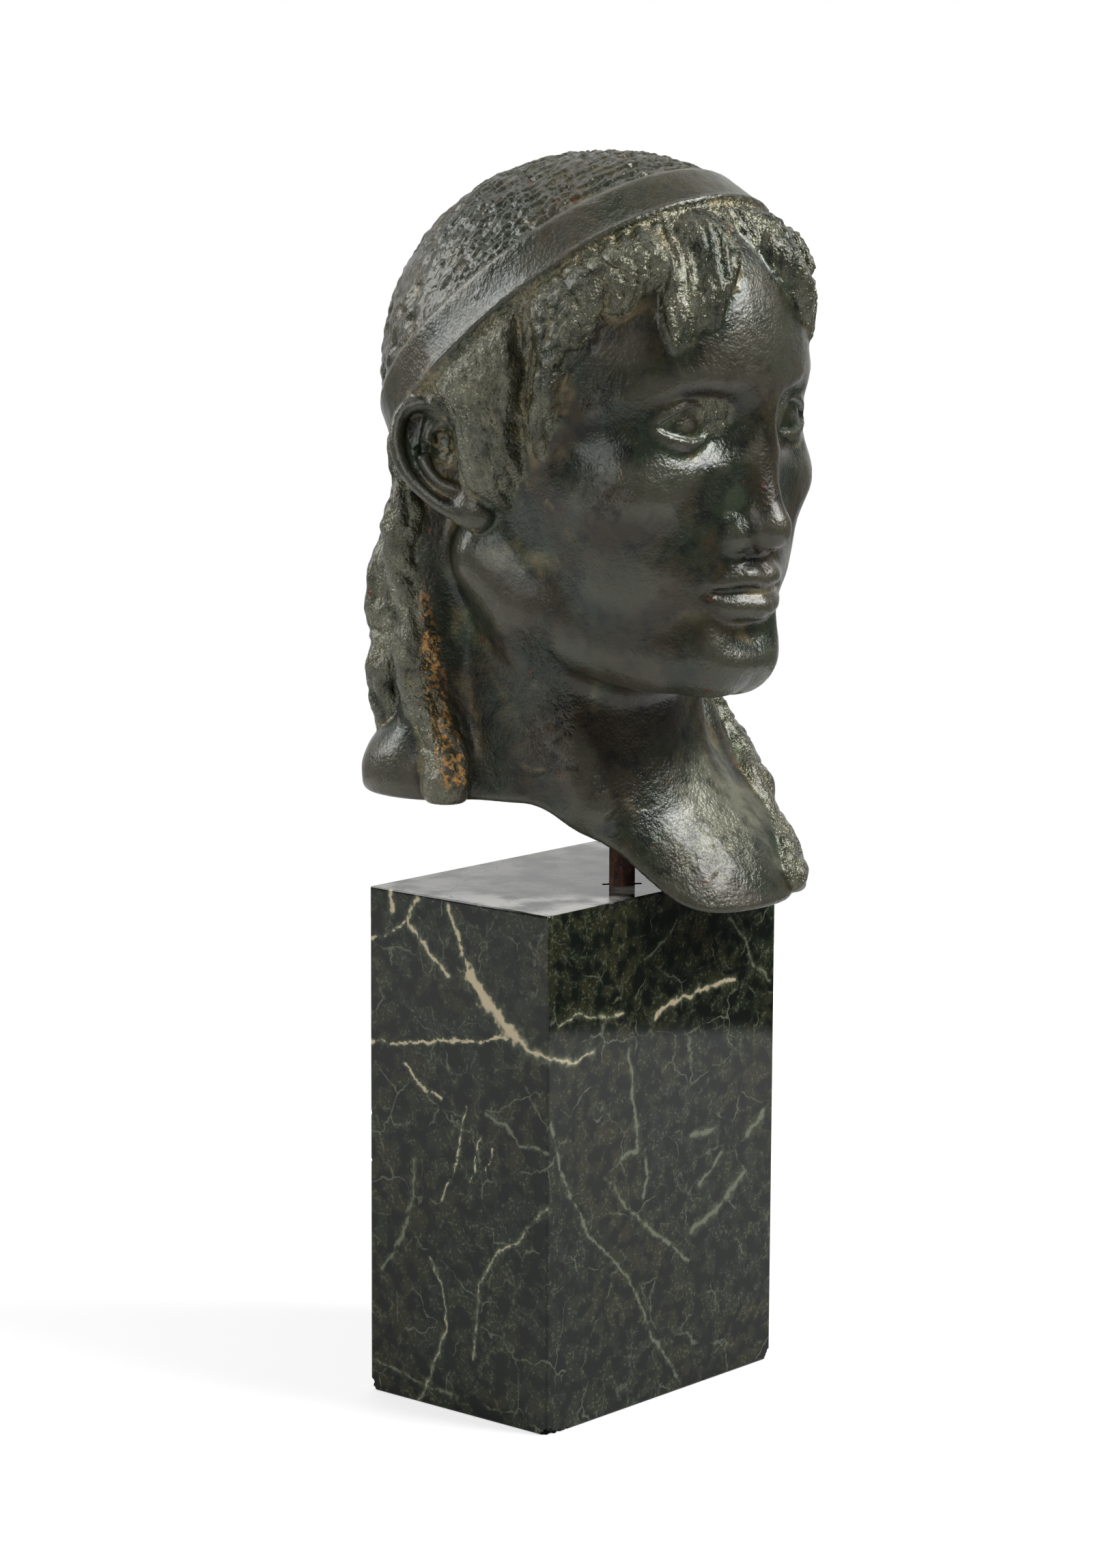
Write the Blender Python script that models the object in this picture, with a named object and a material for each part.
"""A bronze head of a youth with a hair band, on a steel rod in a green marble block.

Metres, +Z up. The origin is the middle of the block's underside, and the face looks along -Y.
The bronze is laid out in parts, with PARTS_PER_HEAD of them from the chin to the crown. Its own
axes have x to the figure's left, y to the back and z up. Their zero is at the chin's level, on
the line that runs down through the middle of the skull.
"""

import math

import bmesh
import bpy
import numpy as np
from mathutils import Euler, Matrix, Vector

# The stone block.
BASE_WIDTH = 0.150
BASE_DEPTH = 0.100
BASE_HEIGHT = 0.220
BASE_BEVEL = 0.0010
BEVEL_SEGMENTS = 2
SLOT_LENGTH = 0.017
SLOT_WIDTH = 0.0035
SLOT_DEPTH = 0.006
SLOT_TURN = math.radians(-40.0)
# The rod, how much of it shows below the bronze's socket and how far it goes into its neighbours.
ROD_DIAMETER = 0.011
ROD_FORWARD = 0.026
ROD_SHOWN = 0.048
ROD_IN_STONE = 0.040
ROD_IN_BRONZE = 0.045
ROD_SIDES = 24
CLEARANCE = 0.0003
# The bronze.
HEAD_HEIGHT = 0.222
PARTS_PER_HEAD = 222.0
PART = HEAD_HEIGHT / PARTS_PER_HEAD
SOCKET_BELOW_CHIN = 41.0
ROD_BEFORE_AXIS = 16.0
CLAY_VOXEL = 4.5
FINE_VOXEL = 2.4
# How many times each skin is settled on the figure, and how far a point may move each time.
COARSE_ROUNDS = 4
COARSE_REACH = 6.0
FINE_ROUNDS = 3
FINE_REACH = 2.5
TRIANGLES = 8800

ROD_FOOT = Vector((0.0, -ROD_FORWARD, BASE_HEIGHT))
FIGURE_PLACE = ROD_FOOT + Vector((0.0, ROD_BEFORE_AXIS * PART, ROD_SHOWN + SOCKET_BELOW_CHIN * PART))

ROD_BOTTOM = BASE_HEIGHT - ROD_IN_STONE
ROD_TOP = BASE_HEIGHT + ROD_SHOWN + ROD_IN_BRONZE

FAR = 400.0


# Distances, in parts. Each takes points as the rows of an array, and is negative inside.
def with_marks(distance, marks):
    """Keeps the balls that a shape is made of, and a box around them."""
    distance.marks = marks
    distance.low = np.min([middle - np.max(radii) for middle, radii, _ in marks], axis=0)
    distance.high = np.max([middle + np.max(radii) for middle, radii, _ in marks], axis=0)
    return distance


def felt(shape, p, margin):
    """The shape's distance where a point is near it, and FAR elsewhere."""
    near = np.all((p > shape.low - margin) & (p < shape.high + margin), axis=1)
    value = np.full(len(p), FAR)
    if near.any():
        value[near] = shape(p[near])
    return value


def ball(centre, radii, turn=(0.0, 0.0, 0.0)):
    """An ellipsoid, turned by angles in degrees."""
    radii = np.array(radii if hasattr(radii, "__len__") else (radii,) * 3, float)
    angles = [math.radians(angle) for angle in turn]
    axes = np.array(Euler(angles).to_matrix())
    middle = np.array(centre, float)

    def distance(p):
        q = (p - middle) @ axes
        near = np.linalg.norm(q / radii, axis=1)
        steep = np.linalg.norm(q / radii**2, axis=1)
        return near * (near - 1.0) / np.maximum(steep, 1e-9)

    return with_marks(distance, [(middle, radii, angles)])


def rope(points, radii):
    """A round cord through the points, with a radius at each."""
    points = np.array(points, float)
    radii = np.broadcast_to(np.array(radii, float), (len(points),)).copy()

    def distance(p):
        best = np.full(len(p), FAR)
        for a, b, ra, rb in zip(points, points[1:], radii, radii[1:]):
            along = b - a
            t = np.clip((p - a) @ along / (along @ along), 0.0, 1.0)
            reach = np.linalg.norm(p - a - t[:, None] * along, axis=1) - (ra + t * (rb - ra))
            best = np.minimum(best, reach)
        return best

    marks = []
    for a, b, ra, rb in zip(points, points[1:], radii, radii[1:]):
        steps = max(1, int(np.linalg.norm(b - a) / (0.7 * min(ra, rb))))
        for t in np.linspace(0.0, 1.0, steps + 1):
            marks.append((a + t * (b - a), np.full(3, ra + t * (rb - ra)), (0.0, 0.0, 0.0)))
    return with_marks(distance, marks)


def smooth_line(points, count):
    """Points along a Catmull-Rom curve through the given ones."""
    given = np.array(points, float)
    padded = np.vstack([2 * given[0] - given[1], given, 2 * given[-1] - given[-2]])
    line = []
    for place in np.linspace(0.0, len(given) - 1.0, count):
        k = min(int(place), len(given) - 2)
        t = place - k
        a, b, c, d = padded[k : k + 4]
        bend = (2 * a - 5 * b + 4 * c - d) * t**2 + (3 * b - a - 3 * c + d) * t**3
        line.append(0.5 * (2 * b + (c - a) * t + bend))
    return np.array(line)


def curve(points, radii, count=8):
    """A rope along a smooth line, its radius running evenly through the given ones."""
    share = np.linspace(0.0, 1.0, count)
    return rope(smooth_line(points, count), np.interp(share, np.linspace(0.0, 1.0, len(radii)), radii))


def lock(points, radii, sway, waves, count=15):
    """A hanging lock of hair: a smooth line that sways as it falls."""
    line = smooth_line(points, count)
    share = np.linspace(0.0, 1.0, count)
    line[:, 0] += sway * np.sin(2 * math.pi * waves * share)
    line[:, 1] += sway * np.cos(2 * math.pi * waves * share)
    thick = np.interp(share, np.linspace(0.0, 1.0, len(radii)), radii)
    return rope(line, thick * (1.0 + 0.07 * np.sin(4 * math.pi * waves * share)))


def melt(a, b, soft):
    """Two distances joined, with a fillet about as wide as soft."""
    h = np.maximum(soft - np.abs(a - b), 0.0) / soft
    return np.minimum(a, b) - h * h * soft / 4.0


def press(a, b, soft):
    """The shape a with the shape b pressed out of it."""
    return -melt(-a, b, soft)


def pair(shape):
    """The shape and its mirror image on the other side of the face."""

    def distance(p):
        return shape(np.column_stack([np.abs(p[:, 0]), p[:, 1:]]))

    marks = list(shape.marks)
    for middle, radii, angles in shape.marks:
        marks.append((middle * np.array([-1.0, 1.0, 1.0]), radii, (angles[0], -angles[1], -angles[2])))
    return with_marks(distance, marks)


def ramp(value, low, high):
    """0 below low, 1 above high, and a smooth step between them."""
    t = np.clip((value - low) / (high - low), 0.0, 1.0)
    return t * t * (3.0 - 2.0 * t)


def eased(value, places, heights):
    """Heights between the given places, with a smooth step from each to the next."""
    places, heights = np.array(places, float), np.array(heights, float)
    k = np.clip(np.searchsorted(places, value) - 1, 0, len(places) - 2)
    t = ramp(value, places[k], places[k + 1])
    return heights[k] + t * (heights[k + 1] - heights[k])


# The skull and the face. Half of each pair is given, on the figure's left.
SKULL = [
    (ball((0, 2, 127), (73, 91, 85)), 1.0),
    (ball((0, -29, 140), (63, 58, 62)), 24.0),
]
HAIR_CAP = ball((0, 2, 127), (79, 97, 91))
MASSES = [
    (ball((0, -25, 78), (61, 58, 80)), 22.0),
    (ball((0, -55, 48), (33, 30, 34)), 20.0),
    (pair(curve([(56, 12, 52), (49, -12, 30), (30, -48, 15), (12, -69, 13)], [13, 13], 5)), 22.0),
    (pair(ball((42, -53, 84), (22, 22, 17))), 16.0),
    (pair(ball((35, -48, 56), (20, 20, 25))), 16.0),
    (ball((0, -70, 14), (18, 15, 14)), 14.0),
]
BROW_LINE = [(7, -80, 122), (22, -81.5, 128.5), (40, -71.5, 129), (56, -52, 119)]
BROWS = pair(curve(BROW_LINE, [4, 4.6, 5, 4.5], 9))
NOSE = [
    (rope([(0, -76, 126), (0, -80, 108), (0, -88, 84), (0, -92, 70)], [6, 5.5, 6.5, 8]), 12.0),
    (ball((0, -91.5, 67), (9, 9.5, 8.5)), 5.0),
    (pair(ball((12, -81.5, 65.5), (7.5, 9.5, 8))), 4.0),
]
NOSTRILS = pair(ball((6.2, -85, 59.5), (2.8, 5, 4.2)))
SOCKETS = pair(ball((33, -94, 111), (25, 22, 16)))
EYE_RADIUS = 17.5
EYE = np.array((31.5, -60.5, 110.0))
EYES = pair(ball(EYE, EYE_RADIUS))
LID_THICKNESS = 2.8
LIDS = pair(ball(EYE, EYE_RADIUS + LID_THICKNESS))
EYE_HALF = 17.5
EYE_OPEN_ABOVE = 7.8
EYE_OPEN_BELOW = 5.6
UPPER_LIP_LINE = [(25, -72, 42.5), (16, -80.5, 46), (7, -86.5, 48), (0, -87, 46)]
UPPER_LIP = pair(curve(UPPER_LIP_LINE, [2, 4.4, 5.1, 4.8], 9))
LOWER_LIP = pair(curve([(23, -72.5, 40), (13, -82, 36.5), (0, -86.5, 35.5)], [2, 4.9, 6.0], 8))
MOUTH_PARTING = [(24, -77, 42.4), (16, -85.5, 41.8), (8, -91, 42), (0, -92.8, 41.3)]
MOUTH_LINE = pair(curve(MOUTH_PARTING, [0.8, 1.5, 1.9, 2], 10))
PHILTRUM = rope([(0, -93, 57), (0, -95.5, 52)], [2.5, 3])
CHIN_FOLD = ball((0, -93, 25.5), (20, 10, 5.5), (-14, 0, 0))

# The ear, in a frame of its own: back, up and out of the head.
EAR_PLACE = np.array((70.0, 20.0, 92.0))
EAR_LEAN = math.radians(29.0)
EAR_FLARE = math.radians(24.0)


def ear_point(back, up, out):
    """A point of the left ear, from its own frame to the figure's."""
    leaned_back = back * math.cos(EAR_FLARE)
    return EAR_PLACE + (
        back * math.sin(EAR_FLARE) + out,
        leaned_back * math.cos(EAR_LEAN) + up * math.sin(EAR_LEAN),
        up * math.cos(EAR_LEAN) - leaned_back * math.sin(EAR_LEAN),
    )


def ear_curve(points, radii, count=12):
    return pair(curve([ear_point(*point) for point in points], radii, count))


HELIX = ear_curve(
    [(-7, 0, 2), (-12, 12, 4), (-6, 24, 4), (6, 27, 4), (14, 17, 4), (15, 2, 4), (9, -13, 3), (1, -23, 3)],
    [2.6, 3.0, 3.2, 3.4, 3.4, 3.2, 3.2, 4.0],
    18,
)
EAR_BODY = ear_curve([(-1, 16, -4), (3, 4, -5), (0, -10, -4), (-4, -20, 0)], [8.5, 9.5, 8, 6.5], 8)
EAR_FOLD = ear_curve([(1, 16, 2), (7, 6, 3), (5, -6, 3), (-1, -13, 3)], [2, 2.6, 2.6, 2.4], 10)
LOBE = pair(ball(ear_point(-4, -24, 2), (6.5, 8.5, 8.5)))
CONCHA = ear_curve([(-4, 9, 5), (0, 1, 4), (-3, -7, 5)], [4.5, 6.5, 4.5], 10)
TRAGUS = pair(ball(ear_point(-11, -4, 3), (3.0, 3.6, 4.6)))

# The neck, with the chest and shoulder that are left of the bust.
BUST = [
    (rope([(0, 21, 60), (0, 21, -10), (2, 20, -46), (2, 20, -66)], [54, 55, 57, 58]), 14.0),
    (pair(rope([(48, 6, 44), (42, -8, 8), (38, -16, -22), (32, -24, -50)], [9, 9, 9, 8])), 16.0),
    (ball((26, -34, -88), (48, 60, 31), (54, 0, 0)), 20.0),
    (ball((58, 0, -74), (26, 46, 36), (24, 0, 0)), 18.0),
    (rope([(54, 40, 84), (58, 30, 34), (62, 8, -10), (60, -8, -46)], [13, 15, 14, 16]), 8.0),
    (rope([(-54, 42, 84), (-56, 42, 20), (-54, 38, -44)], [13, 15, 15]), 8.0),
    (ball((-48, 50, -42), (28, 30, 26)), 14.0),
    (ball((44, 46, -46), (34, 36, 26)), 16.0),
]
# The cut that ends the bust: its height at the back, and how far and where it drops in front.
CUT_AT_BACK = -50.0
CUT_DROP = 46.0
DROP_STARTS = 2.0
DROP_ENDS = 70.0
CUT_ROUNDING = 3.0
WALL = 7.5
RECESS_DEPTH = 9.0
RECESS_ROUNDING = 2.0
BACK_HAIR = ball((0, 46, 22), (64, 44, 92))
RIGHT_LOCK = [
    (-66, 48, 98), (-69, 46, 74), (-67, 45, 48), (-65, 43, 22), (-64, 38, -4),
    (-66, 26, -34), (-66, 20, -58),
]
LEFT_LOCK = [
    (66, 48, 98), (74, 38, 64), (77, 24, 24), (77, 7, -14), (75, -10, -42),
    (69, -34, -64), (57, -56, -88),
]
LOCKS = [
    lock(RIGHT_LOCK, [6, 8.5, 9.5, 10, 10, 9], 2.4, 3.0, 18),
    lock(LEFT_LOCK, [6, 9.5, 11, 12, 12, 11], 2.4, 3.4, 18),
]
BACK_LOCKS = 7
for step in np.linspace(-1.0, 1.0, BACK_LOCKS):
    bow = step**2
    fall = [(44 * step, 85 - 19 * bow, 86), (51 * step, 92 - 23 * bow, 40), (55 * step, 91 - 25 * bow, 4)]
    LOCKS.append(lock(fall + [(54 * step, 83 - 24 * bow, -38)], [5, 9.5, 10.5, 8], 1.8, 2.4, 14))

# The band and the hair: how high each stands above the skull.
BAND_LOW = 146.0
BAND_SLOPE = 0.79
BAND_WIDTH = 21.0
BAND_STANDS = 7.6
CAP_STANDS = 6.0
HAIR_EDGE = 1.5
# The fringe by angle from the middle of the forehead, in degrees: how far below the band each
# place hangs, and how far it stands out there.
FRINGE_ANGLES = [0, 6, 11, 15, 20, 24, 29, 31, 34, 39, 50, 57, 61, 66, 69, 72, 75, 85, 92, 97, 102, 112, 180]
FRINGE_HANGS = [14, 22, 40, 49, 50, 54, 52, 42, 30, 30, 31, 34, 54, 59, 60, 61, 61, 64, 58, 32, 18, 14, 14]
FRINGE_STANDS = [4, 5, 8, 10, 9, 4.5, 4.5, 10, 11, 11, 12, 12, 11, 10, 3, 3, 12, 16, 14, 8, 6, 6, 6]
FRINGE_ROOT = 4.5
FRINGE_SWELL = 13.0
FRINGE_ROLL = 10.0
FRINGE_WANDER = 1.6
FRINGE_SUNK = 6.0


def above_band(p):
    """How far a point lies above the plane of the band's lower edge."""
    return (p[:, 2] - BAND_LOW + BAND_SLOPE * p[:, 1]) / math.hypot(1.0, BAND_SLOPE)


def fringe_height(p):
    """How far the fringe stands out at a point."""
    below = -above_band(p)
    angle = np.degrees(np.arctan2(np.abs(p[:, 0]), -p[:, 1]))
    angle += FRINGE_WANDER * np.sin(below / 6.0 + 3.0 * np.sign(p[:, 0]))
    hangs = eased(angle, FRINGE_ANGLES, FRINGE_HANGS) + FRINGE_WANDER * np.sin(angle / 2.1)
    stands = eased(angle, FRINGE_ANGLES, FRINGE_STANDS)
    swell = FRINGE_ROOT + (stands - FRINGE_ROOT) * ramp(below, 1.0, FRINGE_SWELL)
    roll = np.sqrt(np.clip((hangs - below) / FRINGE_ROLL, 0.0, 1.0))
    return swell * roll - FRINGE_SUNK * (roll <= 0.0)


def bone(p):
    value = SKULL[0][0](p)
    for shape, soft in SKULL[1:]:
        value = melt(value, felt(shape, p, 60.0), soft)
    return value


def face(p, value):
    """Adds the masses of the face, then its features."""
    for shape, soft in MASSES:
        value = melt(value, felt(shape, p, 40.0), soft)
    value = press(value, felt(SOCKETS, p, 20.0), 9.0)
    value = melt(value, felt(BROWS, p, 20.0), 7.0)
    for shape, soft in NOSE:
        value = melt(value, felt(shape, p, 20.0), soft)
    value = press(value, felt(CHIN_FOLD, p, 24.0), 10.0)
    value = press(value, felt(PHILTRUM, p, 12.0), 4.0)
    value = melt(value, felt(UPPER_LIP, p, 12.0), 3.0)
    value = melt(value, felt(LOWER_LIP, p, 12.0), 3.5)
    value = press(value, felt(MOUTH_LINE, p, 8.0), 2.4)
    value = press(value, felt(NOSTRILS, p, 8.0), 1.5)
    return eyes(p, value)


def eyes(p, value):
    """The eyeballs, and lids that leave an almond of each in sight."""
    across = np.abs(p[:, 0]) - EYE[0]
    up = p[:, 2] - EYE[2]
    bow = np.clip(1.0 - (across / EYE_HALF) ** 2, -1.0, 1.0)
    opening = np.maximum(up - EYE_OPEN_ABOVE * bow, -EYE_OPEN_BELOW * bow - up)
    lids = np.maximum(felt(LIDS, p, 12.0), -opening)
    value = melt(value, felt(EYES, p, 12.0), 1.0)
    return melt(value, lids, 2.4)


def ears(p, value):
    value = melt(value, felt(EAR_BODY, p, 12.0), 6.0)
    value = melt(value, felt(LOBE, p, 12.0), 4.0)
    return melt(value, felt(HELIX, p, 12.0), 2.0)


def ear_hollows(p, value):
    """The bowl of each ear, with the fold behind it and the nib before it."""
    value = press(value, felt(CONCHA, p, 12.0), 2.5)
    value = melt(value, felt(EAR_FOLD, p, 12.0), 2.5)
    return melt(value, felt(TRAGUS, p, 8.0), 3.0)


def bust(p, value):
    for shape, soft in BUST:
        value = melt(value, felt(shape, p, 60.0), soft)
    return value


def hair(p, skull):
    """The cap above the band, the band, the fringe and the hanging locks."""
    above = above_band(p)
    stands = BAND_STANDS + (CAP_STANDS - BAND_STANDS) * ramp(above, BAND_WIDTH - 1.0, BAND_WIDTH + 1.0)
    fringe = fringe_height(p)
    value = skull - fringe - (stands - fringe) * ramp(above, -1.0, 1.0)
    value = melt(value, felt(BACK_HAIR, p, 30.0), 6.0)
    for shape in LOCKS:
        value = melt(value, felt(shape, p, 20.0), 3.0)
    return value


def cut_height(p):
    """The height of the curved cut that ends the bust."""
    return CUT_AT_BACK - CUT_DROP * ramp(-p[:, 1], DROP_STARTS, DROP_ENDS)


def figure(p):
    """The whole bronze: how far each point is from its surface."""
    skull = bone(p)
    flesh = face(p, skull)
    flesh = bust(p, flesh)
    flesh = ears(p, flesh)
    whole = ear_hollows(p, melt(flesh, hair(p, skull), HAIR_EDGE))
    above_cut = p[:, 2] - cut_height(p)
    recess = np.maximum(whole + WALL, above_cut - RECESS_DEPTH)
    whole = -melt(-whole, above_cut, CUT_ROUNDING)
    return press(whole, recess, RECESS_ROUNDING)


def lumps():
    """The first clay: one mesh of balls where the shapes are."""
    clay = bmesh.new()
    shapes = [shape for shape, _ in SKULL + MASSES + NOSE + BUST]
    shapes += [LIDS, UPPER_LIP, LOWER_LIP, EAR_BODY, LOBE, HELIX, TRAGUS, HAIR_CAP, BACK_HAIR] + LOCKS
    for shape in shapes:
        for middle, radii, angles in shape.marks:
            turn = Euler(angles).to_matrix().to_4x4()
            place = Matrix.Translation(middle) @ turn @ Matrix.Diagonal((*radii, 1.0))
            detail = 4 if max(radii) > 20.0 else 2
            bmesh.ops.create_icosphere(clay, subdivisions=detail, radius=1.0, matrix=place)
    return clay


def evaluated(thing):
    """The object's mesh with its modifiers applied."""
    graph = bpy.context.evaluated_depsgraph_get()
    mesh = bpy.data.meshes.new_from_object(thing.evaluated_get(graph), depsgraph=graph)
    thing.modifiers.clear()
    thing.data = mesh


def remesh(thing, voxel):
    tool = thing.modifiers.new("clay", "REMESH")
    tool.mode = "VOXEL"
    tool.voxel_size = voxel
    evaluated(thing)


def settle(mesh, rounds, reach):
    """Moves each vertex along the slope of the figure's field until it lies on its surface."""
    p = np.empty(len(mesh.vertices) * 3)
    mesh.vertices.foreach_get("co", p)
    p = p.reshape(-1, 3)
    p[:, 2] = np.maximum(p[:, 2], cut_height(p))
    step = 0.5
    corners = np.array([(1, -1, -1), (-1, -1, 1), (-1, 1, -1), (1, 1, 1)], float)
    for _ in range(rounds):
        samples = np.array([figure(p + step * corner) for corner in corners])
        slope = np.einsum("kn,kc->nc", samples, corners) / (4.0 * step)
        steep = np.maximum(np.einsum("nc,nc->n", slope, slope), 0.25)
        move = -slope * (samples.mean(axis=0) / steep)[:, None]
        size = np.linalg.norm(move, axis=1)
        p += move * np.minimum(1.0, reach / np.maximum(size, 1e-9))[:, None]
    mesh.vertices.foreach_set("co", p.ravel())
    mesh.update()


def add(name, mesh, material):
    thing = bpy.data.objects.new(name, mesh)
    bpy.context.scene.collection.objects.link(thing)
    thing.data.materials.append(material)
    return thing


def paint(name, colour, roughness, metallic):
    material = bpy.data.materials.new(name)
    material.use_nodes = True
    shader = material.node_tree.nodes["Principled BSDF"]
    shader.inputs["Base Color"].default_value = (*colour, 1.0)
    shader.inputs["Roughness"].default_value = roughness
    shader.inputs["Metallic"].default_value = metallic
    return material


def cutter(name, mesh, matrix):
    """A hidden shape that a Boolean takes out of a piece."""
    mesh.transform(matrix)
    thing = bpy.data.objects.new(name, mesh)
    bpy.context.scene.collection.objects.link(thing)
    thing.hide_render = True
    thing.display_type = "WIRE"
    return thing


def round_bar(name, diameter, low, high):
    """A round bar's mesh, upright on the rod's axis, from one height to another."""
    bar = bmesh.new()
    middle = Matrix.Translation((ROD_FOOT.x, ROD_FOOT.y, (low + high) / 2.0))
    bmesh.ops.create_cone(
        bar,
        cap_ends=True,
        segments=ROD_SIDES,
        radius1=diameter / 2.0,
        radius2=diameter / 2.0,
        depth=high - low,
        matrix=middle,
    )
    mesh = bpy.data.meshes.new(name)
    bar.to_mesh(mesh)
    bar.free()
    return mesh


def take_out(thing, *cutters):
    for tool in cutters:
        boolean = thing.modifiers.new(tool.name, "BOOLEAN")
        boolean.operation = "DIFFERENCE"
        boolean.object = tool


def bronze_head():
    clay = lumps()
    mesh = bpy.data.meshes.new("bronze_head")
    clay.to_mesh(mesh)
    clay.free()
    thing = add("bronze_head", mesh, paint("bronze", (0.06, 0.07, 0.055), 0.4, 0.85))
    remesh(thing, CLAY_VOXEL)
    settle(thing.data, COARSE_ROUNDS, COARSE_REACH)
    remesh(thing, FINE_VOXEL)
    settle(thing.data, FINE_ROUNDS, FINE_REACH)
    thin = thing.modifiers.new("thin", "DECIMATE")
    thin.ratio = TRIANGLES / sum(len(face.vertices) - 2 for face in thing.data.polygons)
    evaluated(thing)
    thing.data.transform(Matrix.Translation(FIGURE_PLACE) @ Matrix.Scale(PART, 4))
    thing.data.shade_smooth()
    socket = round_bar("socket", ROD_DIAMETER + 2 * CLEARANCE, BASE_HEIGHT, ROD_TOP + CLEARANCE)
    take_out(thing, cutter("socket", socket, Matrix()))


def mounting_rod():
    mesh = round_bar("mounting_rod", ROD_DIAMETER, ROD_BOTTOM, ROD_TOP)
    mesh.shade_smooth()
    mesh.set_sharp_from_angle(angle=math.radians(40))
    add("mounting_rod", mesh, paint("rusty steel", (0.16, 0.07, 0.04), 0.7, 0.4))


def slot_mesh():
    """The slot in the block's top that runs out past the rod's hole."""
    slot = bmesh.new()
    bmesh.ops.create_cube(slot, size=1.0)
    mesh = bpy.data.meshes.new("slot")
    slot.to_mesh(mesh)
    slot.free()
    mesh.transform(Matrix.Diagonal((SLOT_LENGTH, SLOT_WIDTH, 2 * SLOT_DEPTH, 1.0)))
    return mesh


def marble_base():
    block = bmesh.new()
    bmesh.ops.create_cube(block, size=1.0)
    mesh = bpy.data.meshes.new("marble_base")
    block.to_mesh(mesh)
    block.free()
    middle = Matrix.Translation((0.0, 0.0, BASE_HEIGHT / 2.0))
    mesh.transform(middle @ Matrix.Diagonal((BASE_WIDTH, BASE_DEPTH, BASE_HEIGHT, 1.0)))
    thing = add("marble_base", mesh, paint("green marble", (0.03, 0.045, 0.035), 0.12, 0.0))
    edges = thing.modifiers.new("edges", "BEVEL")
    edges.width = BASE_BEVEL
    edges.segments = BEVEL_SEGMENTS
    bore = round_bar("bore", ROD_DIAMETER + 2 * CLEARANCE, ROD_BOTTOM - CLEARANCE, BASE_HEIGHT + SLOT_DEPTH)
    slot_place = Matrix.Translation(ROD_FOOT) @ Matrix.Rotation(SLOT_TURN, 4, "Z")
    take_out(thing, cutter("bore", bore, Matrix()), cutter("slot", slot_mesh(), slot_place))


def main():
    for thing in list(bpy.data.objects):
        bpy.data.objects.remove(thing)
    marble_base()
    mounting_rod()
    bronze_head()


main()
